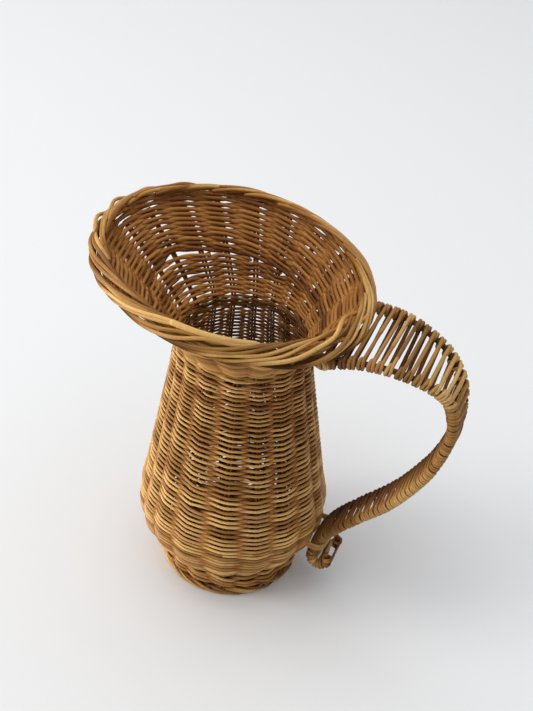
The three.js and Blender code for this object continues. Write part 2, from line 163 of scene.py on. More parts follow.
def rod(path, radius, facing, sides, tone, painted_shade=0.0):
    """One willow rod along a path of points. Facing is a direction that lies across the path, tone
    runs from 0, pale, to 1, dark, and the last argument, 0 to 1, is painted shade: how far its
    colour is painted darker and warmer, near black at 1, where it lies in shade."""
    painted_shade = np.broadcast_to(painted_shade, len(path))
    radius = np.broadcast_to(radius, len(path))
    facing = np.broadcast_to(facing, path.shape)
    ahead = unit(np.gradient(path, axis=0))
    first_tip = path[:1] - ahead[:1] * (radius[0] * TIP_LENGTH)
    last_tip = path[-1:] + ahead[-1:] * (radius[-1] * TIP_LENGTH)
    path = np.vstack([first_tip, path, last_tip])
    ahead = np.vstack([ahead[:1], ahead, ahead[-1:]])
    facing = np.vstack([facing[:1], facing, facing[-1:]])
    radius = np.concatenate([radius[:1] * TIP_GIRTH, radius, radius[-1:] * TIP_GIRTH])
    painted_shade = np.concatenate([painted_shade[:1], painted_shade, painted_shade[-1:]])
    side = unit(np.cross(facing, ahead))
    lift = np.cross(ahead, side)
    turn = 2 * np.pi * np.arange(sides) / sides
    around = np.stack([np.cos(turn), np.sin(turn)], -1)
    spoke = side[:, None] * around[None, :, :1] + lift[:, None] * around[None, :, 1:]
    points = path[:, None] + spoke * radius[:, None, None]
    along = np.concatenate([[0], np.cumsum(np.linalg.norm(np.diff(path, axis=0), axis=1))])
    grain = np.empty((len(path), sides, 3))
    grain[..., 0] = around[None, :, 0] * radius[:, None]
    grain[..., 1] = around[None, :, 1] * radius[:, None]
    grain[..., 2] = along[:, None]
    first = np.arange(len(path) - 1)
    second = first + 1
    here, there = np.arange(sides), (np.arange(sides) + 1) % sides
    quads = np.stack([
        first[:, None] * sides + here, first[:, None] * sides + there,
        second[:, None] * sides + there, second[:, None] * sides + here], -1).reshape(-1, QUAD)
    ends = [here[::-1], (len(path) - 1) * sides + here]
    return (points.reshape(-1, 3), quads, ends, grain.reshape(-1, 3), tone,
            np.repeat(painted_shade, sides))


def willow_piece(name, rods, material, slot, *stands_for):
    """Joins rods into one piece of the model, which rides on the pitcher and replaces CAD nodes."""
    points, grain, tones, painted_shades, corners, sizes = [], [], [], [], [], []
    count = 0
    for index, (where, quads, ends, rod_grain, tone, painted_shade) in enumerate(rods):
        points.append(where)
        grain.append(rod_grain + [0, 0, GRAIN_APART * index + GRAIN_BY_TONE * tone])
        tones.append(np.full(len(where), tone))
        painted_shades.append(painted_shade)
        corners.append((quads + count).ravel())
        sizes.append(np.full(len(quads), QUAD))
        for end in ends:
            corners.append(end + count)
            sizes.append([len(end)])
        count += len(where)
    points, corners, sizes = (np.concatenate(item) for item in (points, corners, sizes))
    mesh = bpy.data.meshes.new(name)
    mesh.vertices.add(count)
    mesh.vertices.foreach_set("co", ((points + AXIS) / MM_PER_METRE).ravel())
    mesh.loops.add(len(corners))
    mesh.loops.foreach_set("vertex_index", corners.astype(np.int32))
    mesh.polygons.add(len(sizes))
    mesh.polygons.foreach_set("loop_start", (np.cumsum(sizes) - sizes).astype(np.int32))
    mesh.polygons.foreach_set("use_smooth", sizes == QUAD)
    mesh.update(calc_edges=True)
    mesh.attributes.new("grain", "FLOAT_VECTOR", "POINT").data.foreach_set(
        "vector", np.concatenate(grain).ravel() / MM_PER_METRE)
    mesh.attributes.new("tone", "FLOAT", "POINT").data.foreach_set("value", np.concatenate(tones))
    # the shade painted into the colour at each point
    mesh.attributes.new("painted_shade", "FLOAT", "POINT").data.foreach_set(
        "value", np.concatenate(painted_shades))
    mesh.materials.append(material)
    piece = bpy.data.objects.new(name, mesh)
    bpy.context.scene.collection.objects.link(piece)
    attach(piece, "root")
    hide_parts(*stands_for)


# colours of the redder rods, of painted deep shade between the rods and of scars, and the tint of
# painted shade, which multiplies the colour of a shaded place
REDDER_ROD = (0.30, 0.085, 0.022, 1)
PAINTED_DEEP_SHADE = (0.03, 0.009, 0.002, 1)
TWIG_SCAR = (0.11, 0.05, 0.018, 1)
PAINTED_SHADE_TINT = (0.64, 0.47, 0.30, 1)
# how fine the streaks and the drift are across and along a rod, and the patches of weathering
STREAK_FINENESS = (1500, 1500, 45)
DRIFT_FINENESS = (60, 60, 14)
PATCH_FINENESS = (28, 28, 28)
SCARS_PER_METRE = 19.0
SCAR_SHARPNESS = 34.0


def shader_node(tree, kind, inputs=None, **settings):
    """A shader node with its settings, and its inputs set to values or joined to outputs."""
    made = tree.nodes.new(kind)
    for key, value in settings.items():
        setattr(made, key, value)
    for key, value in (inputs or {}).items():
        if isinstance(value, bpy.types.NodeSocket):
            tree.links.new(value, made.inputs[key])
        else:
            made.inputs[key].default_value = value
    return made


def willow_grain_group():
    """The skin of a willow rod: a tone of its own, pale and dark streaks along it, brown weathering
    in patches, painted shade, warmer and darker, where it lies in shade, and dark rings where twigs
    were."""
    tree = bpy.data.node_groups.new("willow_skin", "ShaderNodeTree")
    for name, kind in [("Pale", "NodeSocketColor"), ("Mid", "NodeSocketColor"),
                       ("Deep", "NodeSocketColor"), ("Weathering", "NodeSocketFloat"),
                       ("Streak", "NodeSocketFloat")]:
        tree.interface.new_socket(name, in_out="INPUT", socket_type=kind)
    for name, kind in [("Color", "NodeSocketColor"), ("Roughness", "NodeSocketFloat"),
                       ("Height", "NodeSocketFloat")]:
        tree.interface.new_socket(name, in_out="OUTPUT", socket_type=kind)
    given = tree.nodes.new("NodeGroupInput").outputs
    grain = shader_node(tree, "ShaderNodeAttribute", attribute_name="grain").outputs["Vector"]
    tone = shader_node(tree, "ShaderNodeAttribute", attribute_name="tone").outputs["Fac"]
    painted_shade = shader_node(tree, "ShaderNodeAttribute", attribute_name="painted_shade").outputs["Fac"]
    place = shader_node(tree, "ShaderNodeTexCoord").outputs["Object"]

    def maths(operation, first, second=0.0, third=0.0, clamp=False):
        return shader_node(tree, "ShaderNodeMath", {0: first, 1: second, 2: third},
                           operation=operation, use_clamp=clamp).outputs[0]

    def noise(vector, detail, fineness):
        moved = shader_node(tree, "ShaderNodeVectorMath", {0: vector, 1: fineness},
                            operation="MULTIPLY").outputs[0]
        return shader_node(tree, "ShaderNodeTexNoise", {
            "Vector": moved, "Scale": 1, "Detail": detail, "Roughness": 0.6}).outputs["Fac"]

    def mixed(factor, first, second, blend="MIX"):
        # inputs 6 and 7 and output 2 of a Mix node are its colours
        return shader_node(tree, "ShaderNodeMix", {"Factor": factor, 6: first, 7: second},
                           data_type="RGBA", blend_type=blend).outputs[2]

    streaks = noise(grain, 3, STREAK_FINENESS)
    drift = noise(grain, 2, DRIFT_FINENESS)
    patches = noise(place, 3, PATCH_FINENESS)
    # paler to deeper by rod, by slow drift along the rod, by fine streaks and by patches
    shade = maths("SUBTRACT", tone, 0.2)
    shade = maths("MULTIPLY_ADD", maths("SUBTRACT", drift, 0.5), 0.7, shade)
    shade = maths("MULTIPLY_ADD", maths("SUBTRACT", streaks, 0.5), given["Streak"], shade)
    shade = maths("MULTIPLY_ADD", maths("SUBTRACT", patches, 0.45), given["Weathering"], shade)
    light = maths("MULTIPLY", shade, 2.0, clamp=True)
    dark = maths("MULTIPLY_ADD", shade, 2.0, -1.0, clamp=True)
    color = mixed(dark, mixed(light, given["Pale"], given["Mid"]), given["Deep"])
    # a few rods are redder than the rest
    red = maths("MULTIPLY_ADD", maths("FRACT", maths("MULTIPLY", tone, 7.3)), 6.0, -5.0, clamp=True)
    color = mixed(maths("MULTIPLY", red, 0.55), color, REDDER_ROD)
    # painted shade: a warmer brown in shade, and nearly black deep between the rods
    warm_shade_mix = maths("MULTIPLY", painted_shade, 2.0, clamp=True)
    color = mixed(warm_shade_mix, color, PAINTED_SHADE_TINT, "MULTIPLY")
    deep_shade_mix = maths("MULTIPLY_ADD", painted_shade, 1.6, -0.64, clamp=True)
    color = mixed(deep_shade_mix, color, PAINTED_DEEP_SHADE)
    # a dark ring now and then where a side twig was rubbed off
    along = shader_node(tree, "ShaderNodeSeparateXYZ", {"Vector": grain}).outputs["Z"]
    ring = shader_node(tree, "ShaderNodeTexVoronoi", {
        "W": maths("MULTIPLY", along, SCARS_PER_METRE), "Randomness": 1.0},
        voronoi_dimensions="1D").outputs["Distance"]
    ring = maths("SUBTRACT", 1.0, maths("MULTIPLY", ring, SCAR_SHARPNESS, clamp=True), clamp=True)
    ring = maths("MULTIPLY", ring, maths("MULTIPLY_ADD", streaks, 1.2, -0.1, clamp=True))
    color = mixed(maths("MULTIPLY", ring, 0.6), color, TWIG_SCAR)
    # rougher where it is dark or in painted shade
    rough = maths("MULTIPLY_ADD", streaks, 0.2, 0.3)
    rough = maths("MULTIPLY_ADD", dark, 0.12, rough)
    rough = maths("MULTIPLY_ADD", painted_shade, 0.5, rough, clamp=True)
    height = maths("MULTIPLY_ADD", ring, 0.8, streaks)
    shader_node(tree, "NodeGroupOutput", {"Color": color, "Roughness": rough, "Height": height})
    return tree


willow_skin = willow_grain_group()
GRAIN_DEPTH = 0.0004
WILLOW_GLOSS = 0.28


def willow_material(name, pale, mid, deep, weathering=0.3, streak=0.6, bump=0.25):
    material = bpy.data.materials.new(name)
    material.use_nodes = True
    tree = material.node_tree
    surface = tree.nodes["Principled BSDF"]
    skin = shader_node(tree, "ShaderNodeGroup", node_tree=willow_skin)
    for key, value in [("Pale", (*pale, 1)), ("Mid", (*mid, 1)), ("Deep", (*deep, 1)),
                       ("Weathering", weathering), ("Streak", streak)]:
        skin.inputs[key].default_value = value
    bumps = shader_node(tree, "ShaderNodeBump", {
        "Strength": bump, "Distance": GRAIN_DEPTH, "Height": skin.outputs["Height"]})
    tree.links.new(skin.outputs["Color"], surface.inputs["Base Color"])
    tree.links.new(skin.outputs["Roughness"], surface.inputs["Roughness"])
    tree.links.new(bumps.outputs["Normal"], surface.inputs["Normal"])
    surface.inputs["Specular IOR Level"].default_value = WILLOW_GLOSS
    return material


stake_willow = willow_material(
    "stake_willow", (0.52, 0.28, 0.075), (0.32, 0.145, 0.03), (0.13, 0.045, 0.008))
STAKE_RADIUS = 1.1
STAKE_SPREAD = 1.3
STAKE_WANDER = 0.16
# painted shade on the stakes, which darkens the short bars between the rows
STAKE_PAINTED_SHADE = 0.65
STAKE_FOOT = 8.6
STAKE_LAST_CLIMB = 0.9
# how much thicker and farther apart the stakes are in the mouth
MOUTH_THICKER = 0.3
MOUTH_SPREAD = 0.15
BODY_POINTS, MOUTH_POINTS, WANDER_POINTS = 60, 26, 6
stake_draw = np.random.default_rng(4)
stake_heights = np.concatenate([
    np.linspace(STAKE_FOOT, NECK_HEIGHT - 1, BODY_POINTS), np.full(MOUTH_POINTS, NECK_HEIGHT)])
stake_climbs = np.concatenate([
    np.zeros(BODY_POINTS), np.linspace(0.02, STAKE_LAST_CLIMB, MOUTH_POINTS)])
in_mouth = np.clip(stake_climbs * 2, 0, 1)
stake_girth = STAKE_RADIUS + MOUTH_THICKER * in_mouth
stake_points = np.arange(BODY_POINTS + MOUTH_POINTS)
wander_knots = stake_points[::WANDER_POINTS]
for pair in range(STAKES):
    azimuth = stake_azimuth(pair)
    across = np.array([-np.sin(azimuth), np.cos(azimuth), 0])
    middle, out = wall_frame(azimuth, stake_heights, stake_climbs)[:2]
    pair_rods = []
    for hand in (-1, 1):
        wander = np.interp(
            stake_points, wander_knots, stake_draw.normal(0, STAKE_WANDER, len(wander_knots)))
        spread = STAKE_SPREAD + MOUTH_SPREAD * in_mouth + wander
        pair_rods.append(rod(middle + across * (hand * spread)[:, None], stake_girth, out,
                             THIN_SIDES, stake_draw.uniform(0.2, 0.8), STAKE_PAINTED_SHADE))
    node = f"stake_pair_{pair + 1:02d}"
    willow_piece(f"stakes_{pair + 1:02d}", pair_rods, stake_willow, "willow_stake", node)


# Body weave: pairs of thin rods that take turns in front of and behind each stake, and cross
# between the stakes. They climb in one long spiral from the foot to the neck, and a new rod is
# laid in wherever one runs out.
weave_willow = willow_material(
    "weave_willow", (0.82, 0.49, 0.165), (0.45, 0.208, 0.043), (0.10, 0.032, 0.005))
# how a rod runs: part straight and part round from stake to stake, steeply past its partner, and
# with its ends tucked in, over less than a bay, where the next rod of its strand has started
ROUNDNESS = 0.3
STEEPNESS = 1.5
END_TUCK = 1.2
TUCK_PER_BAY = 1.5
OVERLAP_BAYS = 0.25
TAPER = (1.1, 0.9)
FEWEST_POINTS = 4
# painted shade on a rod inside the stakes, less towards the neck, and in its crossings
INNER_SLOPE = 1.6
INNER_START = 0.15
LESS_SHADE_HEIGHTS = [190, 262]
LESS_SHADE = [1, 0.75]
CROSSING_SHADE = 0.5
CROSSING_REACH = 0.7


def twined_rods(draw, rows, place_of, reach, lift, radius, jitter, turns=(1.3, 2.4), steps=8,
                strands=2, tone=(0.05, 0.85), present=None, inner_painted_shade=1.0):
    """Rods twined round the stakes in a spiral, which starts at row 0 and ends at the last of so
    many rows. Place_of turns row numbers, which grow evenly along the spiral, and azimuths into
    heights and climbs, and present tells where a row is there at all. Reach is how far a rod passes
    out over a stake, lift how far it passes over its partner between the stakes, and jitter how far
    the rows stray. Turns are the shortest and the longest rod, in turns round the wall, steps the
    points in each bay, and the last, 0 to 1, how much shade is painted on the rods inside the
    stakes."""
    bend = draw.normal(0, 1, (rows + 1, STAKES))
    last = rows - 1
    rods = []
    for strand in range(strands):
        start = 0.0
        while start < last - OVERLAP_BAYS * 2 / STAKES:
            end = round(min(start + draw.uniform(*turns), last) * STAKES) / STAKES
            count = max(round((end - start) * STAKES) * steps + 1, FEWEST_POINTS)
            turn = np.linspace(start, end, count)
            azimuth = stake_azimuth(turn * STAKES)
            phase = np.pi * turn * STAKES * 2 / strands + 2 * np.pi * strand / strands
            row = np.floor(turn).astype(int)
            stake = turn * STAKES % STAKES
            left = stake.astype(int) % STAKES
            ease = (1 - np.cos(np.pi * (stake - np.floor(stake)))) / 2
            near = bend[row, left] * (1 - ease) + bend[row, (left + 1) % STAKES] * ease
            height, climb = place_of(turn, azimuth)
            middle, out, rise = wall_frame(azimuth, height, climb)
            over, past = np.cos(phase), np.sin(phase)
            fade = np.minimum(1, np.minimum(turn - start, end - turn) * STAKES * TUCK_PER_BAY)
            side = (1 - ROUNDNESS) * np.arcsin(over) * 2 / np.pi + ROUNDNESS * over
            past = np.sign(past) * np.abs(past) ** STEEPNESS
            outwards = reach * side - END_TUCK * (1 - fade)
            upwards = -np.interp(turn, np.arange(rows), np.broadcast_to(lift, rows)) * past
            girth = np.interp(turn, np.arange(rows), np.broadcast_to(radius, rows))
            girth = girth * np.linspace(*(TAPER if draw.random() < 0.5 else TAPER[::-1]), count)
            path = middle + out * outwards[:, None] + rise * (upwards + jitter * near)[:, None]
            shade = draw.uniform(*tone)
            # painted shade: on the inner side of the stakes, less towards the neck, and in the
            # crossings
            painted_shade = inner_painted_shade * np.clip(INNER_SLOPE * (INNER_START - side), 0, 1)
            painted_shade = painted_shade * np.interp(height, LESS_SHADE_HEIGHTS, LESS_SHADE)
            painted_shade = np.maximum(painted_shade, CROSSING_SHADE - np.abs(side) / CROSSING_REACH)
            there = np.arange(count) if present is None else np.flatnonzero(present(turn, azimuth))
            for run in np.split(there, np.flatnonzero(np.diff(there) > 1) + 1):
                if len(run) > steps:
                    rods.append(rod(
                        path[run], girth[run], out[run], THIN_SIDES, shade, painted_shade[run]))
            start = end - OVERLAP_BAYS / STAKES
    return rods


# the distance from one row to the next, at heights. The rows are then stretched a little, so that
# the last one lies where it should.
GAP_HEIGHTS = [30, 52, 84, 98, 108, 140, 198, 212, 232, 268]
ROW_GAPS = [3.9, 3.7, 3.8, 4.7, 5.2, 5.6, 5.7, 5.2, 4.5, 4.5]
BODY_FIRST_ROW, BODY_LAST_ROW = 30.5, 270.3
ROW_SLACK = 1.3
body_rows = [BODY_FIRST_ROW]
while body_rows[-1] < BODY_LAST_ROW - ROW_SLACK:
    body_rows.append(body_rows[-1] + np.interp(body_rows[-1], GAP_HEIGHTS, ROW_GAPS))
body_rows = np.array(body_rows)
above_first = body_rows - BODY_FIRST_ROW
body_rows = body_rows + (BODY_LAST_ROW - body_rows[-1]) * above_first / above_first[-1]
row_gap = np.gradient(body_rows)
LIFT_PER_GAP = 0.25
# rods are thicker where the rows are far apart, and then packed close below the belly and open
# under the neck
GIRTH_BASE, GIRTH_PER_GAP = 0.93, 0.08
THINNEST, THICKEST = 1.17, 1.37
EXTRA_GIRTH_HEIGHTS = [85, 110, 190, 215]
EXTRA_GIRTH = [0.07, 0, 0, -0.13]
body_girth = (np.clip(GIRTH_BASE + row_gap * GIRTH_PER_GAP, THINNEST, THICKEST)
              + np.interp(body_rows, EXTRA_GIRTH_HEIGHTS, EXTRA_GIRTH))
# where a rod ran out and left a dark gap between two rows: azimuth, height and how wide
BODY_GAPS = [(-92.5, 260, 1.7), (-88, 134, 1.8), (-91, 159, 1.1), (-47, 184, 1.0), (-56, 152, 1.2),
             (-66, 156, 1.0), (64, 150, 1.5)]
# half the length of a gap on a wall of about this radius. Rows as near to it as GAP_HEIGHT give way
# fully, and the others less and less.
BODY_RADIUS = 80
GAP_LENGTH = 9
GAP_HEIGHT = 3
GAP_FADE = 30


def body_place(turn, azimuth):
    height = np.interp(turn, np.arange(len(body_rows)), body_rows)
    push = np.zeros_like(height)
    for angle, at, size in BODY_GAPS:
        aside = angle_from(math.radians(angle), azimuth) * BODY_RADIUS / GAP_LENGTH
        beyond = np.maximum(np.abs(height - at) - GAP_HEIGHT, 0)
        push += size * np.sign(height - at) * np.exp(-aside ** 2 - beyond ** 2 / GAP_FADE)
    return height + push, np.zeros_like(height)


willow_piece("woven_body", twined_rods(
    np.random.default_rng(11), len(body_rows), body_place, reach=2.7, lift=row_gap * LIFT_PER_GAP,
    radius=body_girth, jitter=0.28, steps=7),
    weave_willow, "willow_weave", "body_weave_lower", "body_weave_belly", "body_weave_upper")


# Foot: the short skirt under the belly, three coarse rows worked on the same stakes, and the rolled
# border that the pitcher stands on. One loose weaver bows out between belly and foot.
foot_draw = np.random.default_rng(21)
FOOT_ROWS = 4
FOOT_FIRST_ROW = 10.0
FOOT_ROW_GAP = 5.3
# the middle rows wave up and down three times round the foot
FOOT_WAVE, FOOT_WAVES, WAVE_START = 1.3, 3, 0.8
# the top row sags away from the belly at these azimuths and leaves dark holes
FOOT_HOLES = [-118, -64, -36, 20, 95, 170]
HOLE_SAG = 2.8
HOLE_BREADTH = 0.16
FULL_SAG_ROW = 2.5


def foot_place(turn, azimuth):
    height = FOOT_FIRST_ROW + FOOT_ROW_GAP * turn
    wave = FOOT_WAVE * np.sin(FOOT_WAVES * azimuth + WAVE_START)
    wave = wave * np.sin(np.pi * turn / (FOOT_ROWS - 1))
    for angle in FOOT_HOLES:
        aside = angle_from(math.radians(angle), azimuth) / HOLE_BREADTH
        wave = wave - HOLE_SAG * np.exp(-aside ** 2) * np.clip(turn / FULL_SAG_ROW, 0, 1)
    return height + wave, np.zeros_like(height)


foot_rods = twined_rods(
    foot_draw, FOOT_ROWS, foot_place, reach=2.7, lift=1.3, radius=1.5, turns=(0.5, 1.1),
    tone=(0.0, 0.95), jitter=0.75, steps=10)
LOOP_AZIMUTH, LOOP_TURN = math.radians(-157), 0.16
LOOP_TOP, LOOP_DROP = 50, 27
LOOP_OUT, LOOP_BOW = 2.0, 6.0
share = np.linspace(0, 1, 24)
middle, out, rise = wall_frame(
    LOOP_AZIMUTH + LOOP_TURN * share, LOOP_TOP - LOOP_DROP * share, 0 * share)
loose_path = middle + out * (LOOP_OUT + LOOP_BOW * np.sin(np.pi * share))[:, None]
foot_rods.append(rod(loose_path, 1.0, np.cross(out, rise), THIN_SIDES, 0.2))
willow_piece("woven_foot", foot_rods, weave_willow, "willow_weave", "foot_weave")

border_willow = willow_material(
    "border_willow", (0.80, 0.48, 0.155), (0.43, 0.205, 0.042), (0.10, 0.034, 0.006),
    weathering=0.6, streak=0.8, bump=0.35)
# each rod winds nearly once round this ring, from inside it over the top, down outside and under it
FOOT_RING_RADIUS = 67.9
FOOT_RING_HEIGHT = 5.2
FOOT_ROD_GIRTH = (1.4, 1.2)
FOOT_ROLL = (3.8, -1.75)
FOOT_POINTS = 30
foot_border_rods = []
for start in range(2 * STAKES):
    sweep = foot_draw.uniform(0.85, 1.15)
    azimuth = stake_azimuth(start / 2) + np.linspace(0, sweep, FOOT_POINTS)
    turn = np.linspace(*FOOT_ROLL, FOOT_POINTS) + foot_draw.normal(0, 0.1)
    reach = FOOT_RING_RADIUS + foot_draw.uniform(2.3, 2.9) * np.cos(turn)
    height = np.maximum(
        FOOT_RING_HEIGHT + foot_draw.uniform(2.9, 3.9) * np.sin(turn), FOOT_ROD_GIRTH[0])
    path = np.stack([reach * np.cos(azimuth), reach * np.sin(azimuth), height], -1)
    # painted shade in the colour, darkest on the inner side of the roll and none on its outer side
    foot_border_rods.append(rod(path, np.linspace(*FOOT_ROD_GIRTH, FOOT_POINTS), UP, THICK_SIDES,
                                foot_draw.uniform(0, 1), 0.5 - 0.5 * np.cos(turn)))
willow_piece("rolled_foot_border", foot_border_rods, border_willow, "willow_border", "foot_border")


# Base: a cross of eight thick sticks, opened out like spokes, with thin rods woven over and under
# them in a spiral. It closes the pitcher inside the foot, lifted off the floor.
BASE_STICKS = 8
BASE_SPOKES = 2 * BASE_STICKS
BASE_RADIUS = 61
BASE_STICK_HEIGHT, BASE_STICK_SHIFT = 29.6, 0.5
BASE_STICK_RADIUS = 1.9
BASE_STICK_POINTS = 25
BASE_TURNS = 15.2
BASE_FIRST_TURN, BASE_TURN_GAP = 11, 3.25
BASE_WEAVE_HEIGHT = 30.2
BASE_WEAVE_UP, BASE_WEAVE_ASIDE = 2.5, 0.8
BASE_ROD_RADIUS = 1.25
BASE_ROD_POINTS = int(BASE_TURNS * BASE_SPOKES * 6)
base_draw = np.random.default_rng(31)
base_sticks = []
for stick in range(BASE_STICKS):
    angle = np.pi * stick / BASE_STICKS
    reach = np.linspace(-BASE_RADIUS, BASE_RADIUS, BASE_STICK_POINTS)
    shift = BASE_STICK_SHIFT if stick % 2 else -BASE_STICK_SHIFT
    height = np.full(BASE_STICK_POINTS, BASE_STICK_HEIGHT + shift)
    path = np.stack([reach * math.cos(angle), reach * math.sin(angle), height], -1)
    base_sticks.append(rod(path, BASE_STICK_RADIUS, UP, THICK_SIDES, base_draw.uniform(0.2, 0.9)))
willow_piece("base_cross", base_sticks, stake_willow, "willow_stake", "base_sticks")
base_rods = []
for strand in range(2):
    turn = np.linspace(0, BASE_TURNS, BASE_ROD_POINTS)
    phase = np.pi * turn * BASE_SPOKES + np.pi * strand
    reach = BASE_FIRST_TURN + turn * BASE_TURN_GAP + BASE_WEAVE_ASIDE * np.sin(phase)
    azimuth = 2 * np.pi * turn + np.pi / BASE_SPOKES
    height = BASE_WEAVE_HEIGHT + BASE_WEAVE_UP * np.cos(phase)
    path = np.stack([reach * np.cos(azimuth), reach * np.sin(azimuth), height], -1)
    base_rods.append(rod(path, BASE_ROD_RADIUS, UP, THIN_SIDES, 0.35 + 0.3 * strand))
willow_piece("woven_base", base_rods, weave_willow, "willow_weave", "base_weave")


# Neck: two rows of three thicker rods each, twisted round the stakes as one cord. They draw the
# wall in before it opens into the mouth.
NECK_ROWS = 3
NECK_FIRST_ROW = 272.0
NECK_ROW_GAP = 4.9


def neck_place(turn, azimuth):
    return NECK_FIRST_ROW + NECK_ROW_GAP * turn, np.zeros_like(turn)


willow_piece("neck_waling", twined_rods(
    np.random.default_rng(41), NECK_ROWS, neck_place, reach=3.3, lift=1.75, radius=1.5, strands=3,
    steps=10, turns=(0.8, 1.4), tone=(0.0, 0.9), jitter=0.25), border_willow, "willow_border",
    "neck_wale")


# Mouth: the wall opens out in two bands of pairing with one open row between them, which climbs
# towards the spout. The lower band has short rows that run only round the spout's side.
# painted shade: the mouth's willow is a darker, redder copy of the body's, for the shade inside the
# mouth
shaded_mouth_willow = willow_material(
    "shaded_mouth_willow", (0.67, 0.345, 0.095), (0.38, 0.165, 0.028), (0.09, 0.026, 0.003))
LOWER_ROWS = 11
UPPER_ROWS = 13
# climbs of the first and the last row, and from one of the lower rows to the next
FIRST_CLIMB, LAST_CLIMB = 0.045, 0.97
ROW_CLIMB = 0.0495
# part of a turn in which a row steps up to the next one, and how far past the open row's edge the
# lower rows still run, in rows
STEP_TURN = 0.08
ROWS_OVER = 0.4
# climb of the last row below the open row, and the climb from it to the first row above
OPEN_ROW_AZIMUTHS = [0, 60, 85, 114, 136, 158, 197, 230, 275, 300, 360]
OPEN_ROW_CLIMBS = [0.24, 0.285, 0.32, 0.385, 0.42, 0.448, 0.436, 0.40, 0.315, 0.28, 0.24]
OPENING_AZIMUTHS = [0, 50, 72, 138, 148, 163, 177, 360]
OPENING_CLIMBS = [0.042, 0.042, 0.055, 0.055, 0.062, 0.062, 0.043, 0.042]


def level_rows(turn):
    """Rows that run level and step up to the next one beside the handle."""
    return np.floor(turn) + smooth_step(np.clip((turn % 1 - (1 - STEP_TURN)) / STEP_TURN, 0, 1))


def open_row(azimuth):
    """Climb of the last row below the open row."""
    return np.interp(np.degrees(azimuth) % 360, OPEN_ROW_AZIMUTHS, OPEN_ROW_CLIMBS)


def rows_below(azimuth):
    """How many rows there is room for below the open row. It changes in smooth steps."""
    room = (open_row(azimuth) - FIRST_CLIMB) / ROW_CLIMB
    return np.floor(room) + smooth_step(np.clip((room % 1 - 0.3) / 0.4, 0, 1))


def lower_place(turn, azimuth):
    share = level_rows(turn) / rows_below(azimuth)
    climb = FIRST_CLIMB + (open_row(azimuth) - FIRST_CLIMB) * share
    return np.full_like(turn, NECK_HEIGHT), climb


def lower_present(turn, azimuth):
    """Where the lower rows are there: up to the open row."""
    return level_rows(turn) < rows_below(azimuth) + ROWS_OVER


def upper_place(turn, azimuth):
    opening = np.interp(np.degrees(azimuth) % 360, OPENING_AZIMUTHS, OPENING_CLIMBS)
    low = open_row(azimuth) + opening
    climb = low + (LAST_CLIMB - low) * level_rows(turn) / (UPPER_ROWS - 2)
    return np.full_like(turn, NECK_HEIGHT), climb


willow_piece("woven_mouth_lower", twined_rods(
    np.random.default_rng(51), LOWER_ROWS, lower_place, reach=2.6, lift=1.1, radius=1.6,
    turns=(0.5, 1.4), jitter=0.35, present=lower_present, inner_painted_shade=0.5), shaded_mouth_willow,
    "willow_weave", "flare_lower_weave")
willow_piece("woven_mouth_upper", twined_rods(
    np.random.default_rng(61), UPPER_ROWS, upper_place, reach=2.9, lift=1.2, radius=1.9,
    turns=(0.5, 1.2), steps=10, tone=(0.0, 0.95), jitter=0.35, inner_painted_shade=0.5), shaded_mouth_willow,
    "willow_border", "flare_upper_weave")


# Rim border: each pair of stakes is bent down behind its neighbours and rolled over the edge, which
# makes a flat collar that slopes outwards. A pair comes up from under the outside, crosses the
# collar and ends, cut off blunt, at its inner edge or under it.
COLLAR_SLOPE = math.sqrt(0.5)


def rim_frame(azimuth):
    """Middle of the collar, the way across it to its outer edge, and the way out of its face."""
    ahead = unit(rim_point(azimuth + SMALL_TURN) - rim_point(azimuth - SMALL_TURN))
    out = unit(np.cross(ahead, [0, 0, 1]))
    lift = np.cross(out, ahead)
    return rim_point(azimuth), (out - lift) * COLLAR_SLOPE, (out + lift) * COLLAR_SLOPE


# a rod sweeps this far round the mouth while it rolls over the collar by angles in degrees, and the
# second rod of a pair starts a little after the first. Some rods are cut off earlier.
RIM_POINTS, CUT_POINTS, CUT_SHARE = 60, 51, 0.35
RIM_SWEEP = 1.7
SECOND_START = 0.125
rim_share = np.linspace(0, 1, RIM_POINTS)
roll = np.radians(smooth_curve(
    [0, 0.34, 0.5, 0.68, 0.86, 1], [-50, 5, 52, 118, 172, 222], rim_share))
COLLAR_REACH = 8.3
RIM_GIRTH, RIM_GIRTH_RANGE = (1.45, 1.95), (0.85, 1.12)
# how far a rod stands out of the collar's face, and how far a pair and each of its rods stray
PROUD_RANGE = (2.7, 4.5)
RIM_SWAY, SWAY_KNOTS = 1.15, 9
RIM_WANDER, WANDER_KNOTS = 0.65, 8
# the collar is narrower here at the front
NARROW_AZIMUTH = math.radians(-115)
NARROW_BY, NARROW_BREADTH = 1.7, 0.5
